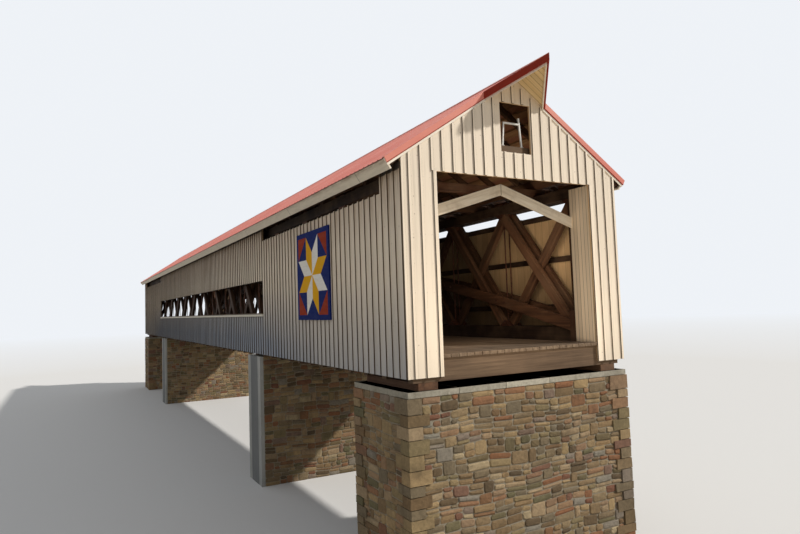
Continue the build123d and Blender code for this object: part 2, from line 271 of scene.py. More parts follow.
def with_damp_and_shade_tint(finish, coat, share):
    """A side wall's paint, greyer in midspan, with its damp; on the left side the damp is blue-grey, a
    painted shade tint of the cool skylight on that shaded wall.
    """
    # The blue-grey on the left (x < 0) is painted shade: the skylight colour of the shaded wall
    coat = coat.mixed(share, finish.plain((160, 150, 136)).mixed(finish.x < 0.0, (134, 145, 161)))
    return coat.shaded(abs(finish.y).between(3.0, half_length, 0.80, 0.97))


def eave_stain_and_shadow(finish, coat, streaks):
    """Brown runs down from the top of a side wall, and a painted shadow: the dark line of the gap behind the
    eave board.
    """
    stain = finish.z.between(wall_top - 0.75, wall_top - 0.05, 0.0, 0.8)
    coat = coat.mixed(stain * streaks, (136, 96, 56))
    # Painted shadow: a dark band just under the wall's top, for the gap behind the eave board
    return coat.mixed(finish.z.between(wall_top - 0.078, wall_top - 0.068, 0.0, 0.94), (30, 24, 19))


def painted_interior_shade(finish, shade, share):
    """Wood darker away from the portals: painted shade for the light that falls off deep inside the bridge.
    """
    return shade.shaded(abs(finish.y).between(half_length - 3.4, half_length - 1.9, share, 1.0))


def painted_boards(name, on_side, pitch, phase, outer_face):
    """Boards painted on the outer face, with knots and nail heads, and bare inside, with fine joints."""
    finish = Finish(name, 0.62)
    along, other = (finish.y, finish.x) if on_side else (finish.x, finish.y)
    height = finish.z
    chance = finish.random_of(((along - phase) / pitch).math("FLOOR"))
    shifted = finish.joined(along, chance * 9.0, height)
    streaks = finish.noise((26, 1, 0.9), vector=shifted)
    grain = finish.noise((120, 1, 3.0), 4.0, vector=shifted)
    patches = finish.noise(1.7, 4.0)
    dirt = streaks.between(0.52, 0.80, 0.0, 0.36) * patches.between(0.30, 0.70, 0.4, 1.2)
    coat = finish.plain(cream).mixed(dirt, grime)
    if on_side:
        coat = with_damp_and_shade_tint(finish, coat, damp_share(finish) * streaks.between(0.3, 0.7, 0.75, 1.0))
        coat = eave_stain_and_shadow(finish, coat, finish.noise((34, 1, 1.6), 5.0, 0.7, shifted).between(0.32, 0.62))
        # Painted shadow: a dark line on the boards just under the window's apron
        under = height.between(apron_foot - 0.03, apron_foot, 0.0, 0.8) * (height < apron_foot + 0.001)
        coat = coat.mixed(under * (abs(along) < window_end), (70, 62, 50))
    coat = coat.shaded(chance.between(0, 1, 0.94, 1.03))
    chips = finish.noise((70, 1, 14), 6.0, 0.7, shifted).between(0.73, 0.76)
    coat = coat.mixed(chips * 0.7, (104, 86, 66))
    knots = finish.node("TexVoronoi", "Distance", {"Vector": finish.joined(along, height, 0.0), "Scale": 3.1},
                        voronoi_dimensions="2D")
    coat = coat.mixed(knots.between(0.026, 0.012, 0.0, 0.55), (122, 98, 70))
    coat = coat.mixed(nail_dots(along, height, pitch, phase) * 0.7, rust_iron)
    bare = finish.ramp(grain, (0.25, 196, 158, 114), (0.55, 218, 182, 136), (0.8, 230, 198, 154))
    bare = bare.shaded(chance.between(0, 1, 0.84, 1.04))
    joints = joint_line(along, pitch, phase, 0.005)
    bare = bare.mixed(joints * 0.45, (96, 70, 46))
    # Darker towards the foot of the inner boards: partly splash dirt, partly painted shade on the low inner
    # wall
    splash_and_shade = height.between(base + 1.25, base + 0.55, 0.0, 0.8) * patches.between(0.3, 0.7, 0.75, 1.0)
    bare = bare.mixed(splash_and_shade, (74, 56, 42))
    # Painted shade: the side walls' inner boards darken deep inside the bridge
    if on_side:
        bare = painted_interior_shade(finish, bare, 0.36)
    shade = bare.mixed(abs(other) > outer_face - on_face, coat)
    finish.paint(shade, grain - joints * 2.0, 0.0015, 0.6)


def batten_paint(name, on_side):
    """Cream paint of the battens, with a tone for each of them."""
    finish = Finish(name, 0.6)
    tone = finish.node("Attribute", "Fac", {}, attribute_name="tone")
    shifted = finish.joined(finish.y if on_side else finish.x, tone * 7.0, finish.z)
    streaks = finish.noise((40, 1, 1.3), vector=shifted)
    coat = finish.plain(cream).mixed(streaks.between(0.5, 0.85, 0.0, 0.45), grime)
    if on_side:
        coat = eave_stain_and_shadow(finish, with_damp_and_shade_tint(finish, coat, damp_share(finish)), 0.55)
    finish.paint(coat.shaded(tone.between(0, 1, 0.97, 1.05)), streaks, 0.001, 0.5)


def timber(name, axes, light, dark, inside=1.0, lean=0.0):
    """Sawn timber with grain along the second of the axes, or leaning and mirrored in the far half."""
    across = 22.0
    along = 0.9
    finish = Finish(name, 0.78, specular=0.25)
    vector = finish.joined(*(getattr(finish, axis) for axis in axes))
    if lean:
        mirrored = finish.joined(finish.x, abs(finish.y), finish.z)
        vector = finish.node("Mapping", 0, {"Vector": mirrored, "Rotation": (lean, 0, 0)})
    grain = finish.noise((across, along, across), 6.0, 0.62, vector)
    fine = finish.noise((across * 5, along * 3, across * 5), 3.0, vector=vector)
    shade = finish.plain(dark).mixed(grain.between(0.3, 0.7), light)
    shade = shade.mixed(finish.noise(1.3, 4.0).between(0.42, 0.72, 0.0, 0.5), (122, 98, 76))
    shade = shade.shaded(fine.between(0.3, 0.7, 0.86, 1.08))
    # Painted shade: darker deep inside the bridge, by the share given
    if inside < 1.0:
        shade = painted_interior_shade(finish, shade, inside)
    finish.paint(shade, grain + fine * 0.5, 0.002, 0.55)


def lining_boards(name, pitch, light, dark):
    """Planed boards side by side along the bridge, varnished or grey with age, with fine joints."""
    finish = Finish(name, 0.68, specular=0.3)
    chance = finish.random_of((finish.y / pitch).math("FLOOR"))
    grain = finish.noise((60, 1, 1.5), vector=finish.joined(finish.y, chance * 9.0, finish.z))
    shade = finish.plain(dark).mixed(grain.between(0.3, 0.7), light)
    shade = shade.shaded(chance.between(0, 1, 0.88, 1.08))
    joints = joint_line(finish.y, pitch, 0.0, 0.004)
    finish.paint(shade.mixed(joints * 0.75, (84, 62, 40)), grain - joints, 0.0012, 0.6)


def roof_metal(name, fresh, faded, roughness=0.45, specular=0.4, primed=False):
    """Painted sheet, faded in patches and streaked down the slope, and brown underneath if primed."""
    finish = Finish(name, roughness, specular=specular)
    streaks = finish.noise((0.8, 22, 0.8)).between(0.35, 0.75, 0.0, 0.5)
    shade = finish.plain(fresh).mixed(streaks + finish.noise(0.9).between(0.35, 0.7, 0.0, 0.5), faded)
    if primed:
        normal = finish.node("NewGeometry", "True Normal", {})
        shade = shade.mixed(finish.node("SeparateXYZ", "Z", {0: normal}) < -0.3, (126, 84, 62))
    finish.paint(shade, finish.noise(5.0, 2.0, 0.5), 0.004, 0.5)


def masonry(name, *stops):
    """Rubble stones, each with its own tone, mottled and stained."""
    finish = Finish(name, 0.88, specular=0.2)
    mottle = finish.noise(26.0, 6.0, 0.65)
    tone = finish.node("Attribute", "Fac", {}, attribute_name="tone")
    shade = finish.ramp(tone, *stops).shaded(mottle.between(0.25, 0.75, 0.70, 1.22))
    shade = shade.mixed(finish.noise(3.1).between(0.52, 0.72, 0.0, 0.55), (84, 72, 54))
    runs = finish.noise((7, 7, 0.7), 5.0, 0.65).between(0.55, 0.75, 0.0, 0.35)
    shade = shade.mixed(runs, (58, 50, 40))
    finish.paint(shade, mottle + finish.noise(120.0, 3.0) * 0.4, 0.012, 0.7)


def mortar(name, smooth_face=None):
    """Mortar between the stones, or cast concrete beyond smooth_face on X, in upright bands on the ends."""
    finish = Finish(name, 0.9, specular=0.2)
    grit = finish.noise(90.0, 5.0, 0.7)
    shade = finish.plain((150, 140, 122)).shaded(grit.between(0.3, 0.7, 0.72, 1.15))
    if smooth_face:
        runs = finish.noise((9, 9, 0.8), 5.0, 0.65).between(0.45, 0.75, 0.0, 0.6)
        cast = finish.plain((182, 182, 178)).mixed(runs, (132, 130, 124))
        cast = cast.shaded(finish.noise(2.4).between(0.3, 0.7, 0.88, 1.08))
        outward = abs(finish.x)
        offset = abs(abs(finish.y) - (half_length - pier_inset))
        band = offset.between(pier_half * 0.62, pier_half * 0.55) * (outward > smooth_face - on_face)
        cast = cast.mixed(band * 0.75, (104, 106, 108))
        shade = shade.mixed(outward > smooth_face - pier_corner, cast)
    finish.paint(shade, grit, 0.004, 0.6)


def patch_paint(name, shade, chalked):
    """Flat exterior paint of one colour on the panel, more or less chalked."""
    finish = Finish(name, 0.8, specular=0.12)
    chalk = finish.noise((1, 5, 30))
    chalky = finish.plain(shade).mixed(chalk.between(0.45, 0.75, 0.0, chalked), (200, 194, 180))
    finish.paint(chalky, chalk, 0.0006, 0.4)


front_pitch = 0.1416
front_phase = -1.3060
side_pitch = 0.1467
side_phase = -half_length + 0.0108

painted_boards("painted_boards_front", False, front_pitch, front_phase, half_length)
painted_boards("painted_boards_side", True, side_pitch, side_phase, half_width)
batten_paint("batten_paint_front", False)
batten_paint("batten_paint_side", True)

# Weathered, unpainted edges of battens and boards
finish = Finish("batten_edge", 0.85, specular=0.2)
finish.paint(finish.ramp(finish.noise((40, 40, 2.0), 4.0), (0.3, 62, 50, 38), (0.7, 98, 82, 62)))

# White trim boards with grain across the bridge and a little grime
finish = Finish("trim_paint_across", 0.58)
grain = finish.noise((2, 60, 60))
dirt = grain.between(0.45, 0.75, 0.0, 0.35) * finish.noise(2.3, 4.0, 0.65).between(0.35, 0.7, 0.3, 1.0)
finish.paint(finish.plain((250, 240, 222)).mixed(dirt, grime), grain, 0.001, 0.5)

timber("timber_along", "xyz", old_timber, dark_timber)
timber("timber_arch", "xyz", old_timber, dark_timber, 0.42)
# A darker copy of the old timber for chords and girts: painted shade of the bridge's dark inside
timber("timber_dark", "xyz", (56, 40, 31), (25, 18, 14), 0.6)
timber("timber_upright", "xzy", (88, 58, 42), (44, 30, 22))
# Darkened timber for tie beams and rafters: partly painted shade of the dark roof space
timber("timber_across", "yxz", (74, 45, 29), (37, 22, 15), 0.6)
timber("timber_braces", "xyz", (116, 80, 56), (58, 39, 28), 0.42, brace_slope)
timber("timber_counters", "xyz", (112, 77, 54), (57, 38, 27), 0.42, -brace_slope)
timber("timber_floor", "yxz", (112, 92, 72), (70, 54, 40))
timber("plank_wood", "xyz", (128, 110, 90), (82, 66, 52))
timber("lath_wood", "xyz", (166, 126, 88), (104, 72, 48), 0.42)
lining_boards("returns_wood", 0.057, (252, 232, 204), (240, 216, 182))
lining_boards("soffit_wood", 0.072, (236, 212, 166), (216, 186, 134))

# Pale weathered boards with brown blotches, and a joint at the apex
finish = Finish("header_wood", 0.72, specular=0.25)
outward = abs(finish.x)
folded = finish.joined(outward, finish.y, finish.z)
along_slope = finish.node("Mapping", 0, {"Vector": folded, "Rotation": (0, -header_slope, 0)})
grain = finish.noise((1.4, 30, 30), 6.0, 0.62, along_slope)
blotches = finish.noise(4.0, 5.0, 0.65).between(0.52, 0.72, 0.0, 0.45)
shade = finish.ramp(grain, (0.28, 196, 180, 156), (0.5, 226, 212, 190), (0.72, 238, 228, 210))
shade = shade.mixed(blotches, (160, 136, 108))
joint_share = outward.between(0.007, 0.003, 0.0, 0.8)
finish.paint(shade.mixed(joint_share, (96, 78, 54)), grain - joint_share, 0.0015, 0.6)

# Grey-cream eave boards with butt joints, brown stains near the portals, and a painted shadow of the sheets'
# lip along the top edge
finish = Finish("fascia_paint", 0.62)
streaks = finish.noise((60, 5, 1.5))
coat = finish.plain((232, 220, 200)).mixed(streaks.between(0.4, 0.8, 0.0, 0.26), grime)
top = finish.z.between(fascia_top - 0.06, fascia_top - 0.015, 0.0, 0.85)
ends = abs(finish.y).between(half_length - 4.5, half_length - 0.6, 0.15, 1.0)
blots = finish.noise((4, 4, 30), 5.0, 0.65).between(0.36, 0.6)
coat = coat.mixed(top * ends * blots, (128, 88, 44))
# Painted shadow: a dark line under the sheets' lip at the top of the eave board
coat = coat.mixed(finish.z.between(fascia_top - 0.020, fascia_top - 0.014, 0.0, 0.8), (74, 40, 28))
joints = joint_line(finish.y, 2.44, 1.13, 0.006)
grain = finish.noise((60, 1.2, 60))
finish.paint(coat.mixed(joints * 0.8, (74, 60, 44)), grain - joints, 0.001, 0.5)

# White apron under a bare, weathered cap board, both with butt joints
finish = Finish("sill_paint", 0.7, specular=0.25)
grain = finish.noise((60, 1.2, 60))
apron = finish.plain((236, 229, 214)).mixed(grain.between(0.4, 0.75, 0.0, 0.4), grime)
cap = finish.ramp(grain, (0.3, 74, 62, 48), (0.7, 124, 108, 88))
shade = apron.mixed(finish.z > sill_high.z - sill_cap, cap)
joints = joint_line(finish.y, 1.83, 0.4, 0.005)
finish.paint(shade.mixed(joints * 0.7, (60, 50, 38)), grain, 0.0015, 0.5)

roof_metal("roof_sheet_red", (215, 123, 110), (230, 159, 145), primed=True)
roof_metal("roof_sheet_edge", (104, 48, 36), (122, 64, 48), 0.7, 0.2)
roof_metal("roof_trim_red", (210, 116, 98), (226, 150, 130))
# A darker copy of the trim red, painted shade: all along the hood's edge and on the rake metal's folded lip
roof_metal("trim_red_painted_shade", (134, 36, 16), (152, 50, 30), 0.6, 0.2)
masonry("rubble_stone", (0.0, 92, 78, 60), (0.14, 150, 124, 90), (0.28, 116, 104, 84),
        (0.42, 168, 142, 104), (0.55, 106, 100, 74), (0.68, 138, 96, 68), (0.82, 172, 154, 122),
        (0.92, 122, 82, 62), (1.0, 140, 134, 120))
masonry("cap_stone", (0.0, 150, 144, 130), (1.0, 180, 174, 158))
mortar("abutment_mortar")
mortar("pier_mortar", pier_high.x)

# Old iron, browner where it rusts
finish = Finish("old_iron", 0.62, metallic=0.55, specular=0.4)
rust = finish.noise(34.0, 5.0, 0.65)
shade = finish.ramp(rust, (0.3, 52, 44, 40), (0.55, *rust_iron), (0.75, 128, 78, 50))
finish.paint(shade, rust, 0.0015, 0.5)

patch_paint("panel_navy", (10, 30, 94), 0.025)
patch_paint("panel_gold", (232, 172, 22), 0.07)
patch_paint("panel_rust", (150, 52, 26), 0.04)
patch_paint("panel_white", (244, 240, 232), 0.3)

# White enamel with specks of rust
finish = Finish("white_enamel", 0.42)
specks = finish.noise(60.0, 5.0, 0.7)
finish.paint(finish.plain((228, 226, 220)).mixed(specks.between(0.62, 0.7), rust_iron), specks, 0.0006, 0.4)


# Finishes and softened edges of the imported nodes

def soften(thing, width, degrees):
    """Small bevels on the edges that turn by more than an angle."""
    bevel = thing.modifiers.new("bevel", "BEVEL")
    bevel.width = width
    bevel.segments = 1
    bevel.limit_method = "ANGLE"
    bevel.angle_limit = math.radians(degrees)


def dress(finish, bevel, *patterns):
    """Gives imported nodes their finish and, where their edges are sharp, small bevels."""
    for node in (nodes[name] for pattern in patterns for name in fnmatch.filter(nodes, pattern)):
        node.data.materials.clear()
        node.data.materials.append(palette[finish])
        if bevel:
            weld = node.modifiers.new("weld", "WELD")
            weld.merge_threshold = 0.00001
            soften(node, bevel, 40)


dress("abutment_mortar", 0, "abutments")
dress("pier_mortar", 0, "piers")
dress("timber_along", 0.004, "bed_timbers")
dress("timber_along", 0.002, "rafter_plates")
dress("timber_floor", 0.003, "floor_beams")
dress("timber_floor", 0.002, "gable_ledges")
dress("timber_upright", 0.003, "posts")
dress("timber_dark", 0.003, "*_chord_*")
dress("timber_dark", 0.002, "girt*")
dress("timber_braces", 0.003, "main_braces_*")
dress("timber_counters", 0.003, "counter_braces_*")
dress("timber_arch", 0.003, "arch_*")
dress("timber_across", 0.003, "tie_beams")
dress("timber_across", 0.002, "rafters")
dress("lath_wood", 0, "roof_laths")
dress("old_iron", 0, "truss_iron_*")
dress("painted_boards_side", 0, "*_wall_*")
dress("painted_boards_front", 0, "portal_jambs", "gable_near", "gable_far")
dress("returns_wood", 0.0015, "portal_returns")
dress("header_wood", 0.002, "portal_headers")
dress("sill_paint", 0.0015, "window_sills")
dress("fascia_paint", 0.0015, "eave_fascias")
dress("soffit_wood", 0, "hood_soffits")
dress("roof_trim_red", 0.002, "ridge_cap")
dress("white_enamel", 0.002, "gable_bracket")


# Joined pieces built from boxes and outlines

def new_object(name, data):
    made = bpy.data.objects.new(name, data)
    bpy.context.scene.collection.objects.link(made)
    return made


class Shape:
    """Corners and faces of one joined piece, with a tone for each part of it."""

    def __init__(self):
        self.corners, self.faces, self.tones, self.finishes = [], [], [], []

    def add(self, corners, faces, finishes=0, tone=None):
        start = len(self.corners)
        shade = random.random() if tone is None else tone
        self.corners.extend(corners)
        self.faces.extend([tuple(start + i for i in face) for face in faces])
        self.tones.extend([shade] * len(corners))
        self.finishes.extend([finishes] * len(faces) if isinstance(finishes, int) else finishes)

    def add_solid(self, lower, upper, finishes=0):
        """A closed solid between two outlines, in one finish or in one each for its ends and sides."""
        count = len(lower)
        faces = [tuple(reversed(range(count))), tuple(range(count, 2 * count))]
        faces += [(i, (i + 1) % count, count + (i + 1) % count, count + i) for i in range(count)]
        self.add(list(lower) + list(upper), faces, finishes)

    def add_box(self, low, high, finishes=0):
        (x0, y0, z0), (x1, y1, z1) = low, high
        lower = [(x0, y0, z0), (x1, y0, z0), (x1, y1, z0), (x0, y1, z0)]
        self.add_solid(lower, [(x, y, z1) for x, y, _ in lower], finishes)

    def add_run(self, rings, forward, finishes=0):
        """Closed solids from each ring of corners to the next, which face outward going forward or back."""
        for index, pair in enumerate(zip(rings, rings[1:])):
            first, second = pair if forward else pair[::-1]
            self.add_solid(first, second, finishes if isinstance(finishes, int) else finishes[index])

    def add_prism(self, centre, radius, height, up, first=None, sides=6):
        """A nut, bolt head, screw or rod end that stands on a face in the direction up."""
        first = first or up.orthogonal().normalized()
        second = up.cross(first)
        ring = [radius * (math.cos(a) * first + math.sin(a) * second)
                for a in (2 * math.pi / sides * k for k in range(sides))]
        self.add_solid([tuple(centre + p) for p in ring], [tuple(centre + p + up * height) for p in ring])

    def piece(self, name, finishes, bevel=0.0, replaces=()):
        """Makes the object, which rides on the bridge, with finishes of the palette."""
        mesh = bpy.data.meshes.new(name)
        mesh.from_pydata(self.corners, [], self.faces)
        mesh.attributes.new("tone", "FLOAT", "POINT").data.foreach_set("value", self.tones)
        for finish in finishes:
            mesh.materials.append(palette[finish])
        mesh.polygons.foreach_set("material_index", self.finishes)
        mesh.update()
        made = new_object(name, mesh)
        if bevel:
            soften(made, bevel, 30)
        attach(made, "root")
        if replaces:
            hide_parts(*replaces)


# Battens over the joints of the wall boards

batten_width = 0.031
side_batten_thickness = 0.0135
front_batten_thickness = 0.0155
jamb_trim_width = 0.042
rake_board_drop = 0.114
window_snap = 0.02
painted = 0
bare = 1


def batten_places(pitch, phase, reach):
    """Places of the battens out to a reach either way, never quite evenly spaced."""
    first = math.ceil((-reach - phase) / pitch)
    last = math.floor((reach - phase) / pitch)
    return [phase + pitch * k + random.uniform(-0.003, 0.003) for k in range(first, last + 1)]


def batten(shape, on_side, way, place, foot, top, width=batten_width):
    """A batten on a side wall or a portal, painted in front; top is a height, or gives the one at an x."""
    wall = half_width if on_side else half_length
    thickness = side_batten_thickness if on_side else front_batten_thickness
    back = wall * way
    front = back + way * (thickness + random.uniform(-0.001, 0.001))
    low = place - width / 2
    high = place + width / 2
    if on_side:
        across = [(back, low), (front, low), (front, high), (back, high)]
        finishes = [bare, bare, bare, painted, bare, painted]
    else:
        across = [(low, back), (high, back), (high, front), (low, front)]
        finishes = [bare, bare, painted, bare, painted, bare]
    if way < 0:
        across.reverse()
    upper = [(x, y, top(x) if callable(top) else top) for x, y in across]
    shape.add_solid([(x, y, foot) for x, y in across], upper, finishes)


def under_rake(x):
    """Height of a gable batten's top, just under the rake board."""
    return roof_z(x) - rake_board_drop - 0.001


jamb_trim = door_half + jamb_trim_width / 2
corner = half_width - batten_width / 2
for end, name in ((-1, "battens_near_portal"), (1, "battens_far_portal")):
    portal = Shape()
    add = partial(batten, portal, False, end)
    for x in batten_places(front_pitch, front_phase, corner - 0.03) + [-corner, corner]:
        if abs(abs(x) - gable_window_half) < window_snap:
            x = math.copysign(gable_window_half + batten_width / 2, x)
        if abs(x) > door_half + 0.05:
            add(x, base, under_rake)
        elif abs(x) < gable_window_half:
            add(x, door_head, gable_window_sill)
            add(x, gable_window_head, under_rake)
        else:
            add(x, door_head, under_rake)
    for x in (-jamb_trim, jamb_trim):
        add(x, base, door_head, jamb_trim_width)
    portal.piece(name, ["batten_paint_front", "batten_edge"], 0.0015)

# Full battens at the corners, lower ones under eave gaps, short ones at the window
corner = half_length - batten_width / 2
for side, name in ((1, "battens_right_wall"), (-1, "battens_left_wall")):
    wall = Shape()
    add = partial(batten, wall, True, side)
    for y in batten_places(side_pitch, side_phase, corner - 0.05) + [-corner, corner]:
        top_wobble = random.uniform(0.002, 0.012)
        foot = base + random.uniform(0.0, 0.004)
        if half_length - abs(y) < corner_strip:
            add(y, foot, wall_top)
        elif abs(y) > window_end:
            add(y, foot, gap_sill + top_wobble)
        else:
            add(y, foot, apron_foot)
            add(y, window_head, wall_top)
    wall.piece(name, ["batten_paint_side", "batten_edge"], 0.0015)


# Ribbed roof sheets, with their screws

rib_pitch = 0.1145
rib_height = 0.0095
rib_foot_half = 0.0125
rib_top_half = 0.0065
sheet_rake = half_length + rake_overhang - 0.004
sheet_tip = half_length + hood_reach - 0.007
screw_rows = 6
screw_ridge_inset = 0.15
screw_span = eave_x - 0.22
screw_from_rib = 0.022
screw_radius = 0.0042
screw_height = 0.0035
screw_sink = 0.0005


def hood_edge(y):
    """Distance from the ridge to the slanted edge of the hood."""
    share = (sheet_tip - abs(y)) / (hood_reach - rake_overhang)
    return hood_half * max(0.0, min(1.0, share))


def ribbed_strip(shape, side, y0, y1, edge_of):
    """Ribbed sheet from the ridge out to edge_of(y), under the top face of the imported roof."""
    points = [(y0, 0.0)]
    first = math.ceil((y0 + rib_foot_half) / rib_pitch)
    for k in range(first, math.floor((y1 - rib_foot_half) / rib_pitch) + 1):
        y = rib_pitch * k
        points += [(y - rib_foot_half, 0.0), (y - rib_top_half, rib_height),
                   (y + rib_top_half, rib_height), (y + rib_foot_half, 0.0)]
    points.append((y1, 0.0))
    count = len(points)
    last = count - 1
    ridge = [(0.0, y, roof_z(0) - rib_height + rise) for y, rise in points]
    eave = [(side * edge_of(y), y, roof_z(edge_of(y)) - rib_height + rise) for y, rise in points]
    under = [(x, y, roof_z(x) - sheet_drop) for x, y, _ in ridge + eave]
    faces = []
    for i in range(last):
        j = i + 1
        faces += [(i, count + i, count + j, j), (2 * count + i, 2 * count + j, 3 * count + j, 3 * count + i),
                  (count + i, 3 * count + i, 3 * count + j, count + j)]
    faces += [(0, 2 * count, 3 * count, count), (last, count + last, 3 * count + last, 2 * count + last)]
    if side < 0:
        faces = [face[::-1] for face in faces]
    shape.add(ridge + eave + under, faces, [0, 0, 1] * last + [0, 0], 0.5)


screw_places = [screw_ridge_inset + screw_span * k / (screw_rows - 1) for k in range(screw_rows)]
ribs_each_way = math.floor((half_length - 0.05) / rib_pitch)
for side, name in ((1, "right"), (-1, "left")):
    sheets = Shape()
    ribbed_strip(sheets, side, -sheet_rake, sheet_rake, lambda y: eave_x)
    ribbed_strip(sheets, side, sheet_rake, sheet_tip, hood_edge)
    ribbed_strip(sheets, side, -sheet_tip, -sheet_rake, hood_edge)
    finishes = ["roof_sheet_red", "roof_sheet_edge"]
    sheets.piece(f"roof_sheets_{name}", finishes, replaces=[f"roof_{name}"])
    screws = Shape()
    lean = side * roof_angle
    down = Vector((math.cos(lean), 0, -math.sin(lean)))
    up = Vector((math.sin(lean), 0, math.cos(lean)))
    for k in range(-ribs_each_way, ribs_each_way + 1):
        y = rib_pitch * k + screw_from_rib
        for distance in screw_places:
            seat = Vector((side * distance, y, roof_z(distance) - rib_height - screw_sink))
            screws.add_prism(seat, screw_radius, screw_height, up, down)
    screws.piece(f"roof_screws_{name}", ["roof_trim_red"])


# Red metal edge and white board round the rakes and hoods, in sections of (inset, drop)

hood_slant = (hood_reach - rake_overhang) / hood_half
rake_board_faces = (0.012, 0.024)
rake_board_top = 0.016
hood_board_front = 0.026
hood_board_back = 0.040
hood_section = [(hood_board_front, soffit_drop), (hood_board_front, rake_board_drop),
                (hood_board_back, rake_board_drop), (hood_board_back, soffit_drop)]
metal_section = [(0.0005, -0.0015), (0.0005, 0.0735), (0.0040, 0.0835), (0.0255, 0.0835), (0.0255, 0.0815),
                 (0.0065, 0.0805), (0.0035, 0.0735), (0.0035, 0.0015), (0.052, 0.0015), (0.052, -0.0015)]
# Runs 1 and 2 of the section, the folded lip, take the red of painted shade
lip_runs = (1, 2)
lip_finishes = [0, 0] + [int(run in lip_runs) for run in range(len(metal_section))]


def inward(before, corner, after, end):
    """How the corner of a parallel line inside the edge moves, for 1 m of inset."""
    ways = [run.normalized().orthogonal() * -end for run in (corner - before, after - corner)]
    middle = (ways[0] + ways[1]).normalized()
    return middle / middle.dot(ways[0])


def square_end(drop):
    """Distance from the middle to a square-cut end on the slope, at a drop below the roof."""
    return eave_x - max(0.0, drop - sheet_drop) * math.sin(roof_angle) * math.cos(roof_angle)


# Straight boards up the rakes, and mitred ones round the hoods
boards = Shape()
metal = Shape()
rake = half_length + rake_overhang
tip = half_length + hood_reach
roof_edge = [(-eave_x, rake), (-hood_half, rake), (0, tip), (hood_half, rake), (eave_x, rake)]
head = hood_half - hood_board_front
outline = [(square_end(rake_board_drop), rake_board_drop), (square_end(rake_board_top), rake_board_top),
           (head, rake_board_top), (head, rake_board_drop)]
for end in (-1, 1):
    for side in (-1, 1):
        rings = [[(side * x, end * (rake - inset), roof_z(x) - drop) for x, drop in outline]
                 for inset in rake_board_faces]
        boards.add_run(rings, side * end < 0)
    rings = []
    for side in (-1, 0, 1):
        ring = []
        for inset, drop in hood_section:
            reach = hood_reach - inset * math.hypot(1, hood_slant)
            x = side * reach / hood_slant
            ring.append((x, end * (half_length + (0 if side else reach)), roof_z(x) - drop))
        rings.append(ring)
    boards.add_run(rings, end > 0)

    # The metal's section swept round the roof's edge, with a darker red of painted shade at its lip and all
    # along the hood
    path = [Vector((x, end * y)) for x, y in roof_edge]
    rings = []
    for index, corner in enumerate(path):
        at_eave = index in (0, len(path) - 1)
        way = Vector((0, -end)) if at_eave else inward(path[index - 1], corner, path[index + 1], end)
        ring = []
        for inset, drop in metal_section:
            place = corner + way * inset
            x = math.copysign(square_end(drop), corner.x) if at_eave else place.x
            ring.append((x, place.y, roof_z(x) - drop))
        rings.append(ring)
    metal.add_run(rings, end > 0, (lip_finishes, 1, 1, lip_finishes))
boards.piece("white_rake_boards", ["trim_paint_across"], 0.001, replaces=["rake_boards"])
metal.piece("red_rake_trim", ["roof_trim_red", "trim_red_painted_shade"])


# Rubble masonry of the abutments and piers

band_low = 0.11
band_high = 0.17
stone_short = 0.12
stone_long = 0.30
shortest_stone = 0.09
joint = 0.009
quoin_reach = 0.15
quoin_tooth = 0.26
lowest_quoin = 0.07
cap_height = 0.06
cap_slabs = 5
cap_proud = 0.014
cap_joint = 0.006


def wave(u, z, height):
    """How far the beds stray from level at a place on a face of this height."""
    fade = min(1.0, z / 0.12, (height - z) / 0.12)
    return fade * (0.013 * math.sin(2.9 * u + 1.7 * math.sin(2.3 * z)) + 0.008 * math.sin(8.3 * u + 4.1 * z))


def stone(shape, face, u0, u1, z0, z1):
    """One rough-faced stone with cut corners and a raised, uneven face."""
    origin, along, out, height = face
    proud = random.uniform(0.005, 0.015)
    chamfer = random.uniform(0.007, 0.014)
    wobble = lambda: random.uniform(-0.0045, 0.0045)
    cut = lambda size: min(0.28 * size, random.uniform(0.006, 0.026))
    across = u1 - u0
    rise = z1 - z0
    outline = [(u0, z0 + cut(rise)), (u0 + cut(across), z0), (u1 - cut(across), z0), (u1, z0 + cut(rise)),
               (u1, z1 - cut(rise)), (u1 - cut(across), z1), (u0 + cut(across), z1), (u0, z1 - cut(rise))]
    middle_u = (u0 + u1) / 2
    middle_z = (z0 + z1) / 2

    def place(u, z, depth):
        spot = origin + along * u + out * depth
        return (spot.x, spot.y, max(0.0, min(height, z + wave(u, z, height))))

    rings = [[], [], []]
    for u, z in outline:
        rough_u = u + wobble()
        rough_z = z + wobble()
        inner_u = middle_u + (rough_u - middle_u) * (1 - 2 * chamfer / across)
        inner_z = middle_z + (rough_z - middle_z) * (1 - 2 * chamfer / rise)
        rings[0].append(place(rough_u, rough_z, -0.002))
        rings[1].append(place(rough_u, rough_z, proud * 0.4))
        rings[2].append(place(inner_u, inner_z, proud + wobble() * 0.5))
    centre = place(middle_u + wobble(), middle_z + wobble(), proud + 0.003)
    faces = []
    for i in range(8):
        j = (i + 1) % 8
        faces += [(i, j, 8 + j, 8 + i), (8 + i, 8 + j, 16 + j, 16 + i), (16 + i, 16 + j, 24)]
    if along.cross(Vector((0, 0, 1))).dot(out) < 0:
        faces = [face[::-1] for face in faces]
    shape.add(rings[0] + rings[1] + rings[2] + [centre], faces)


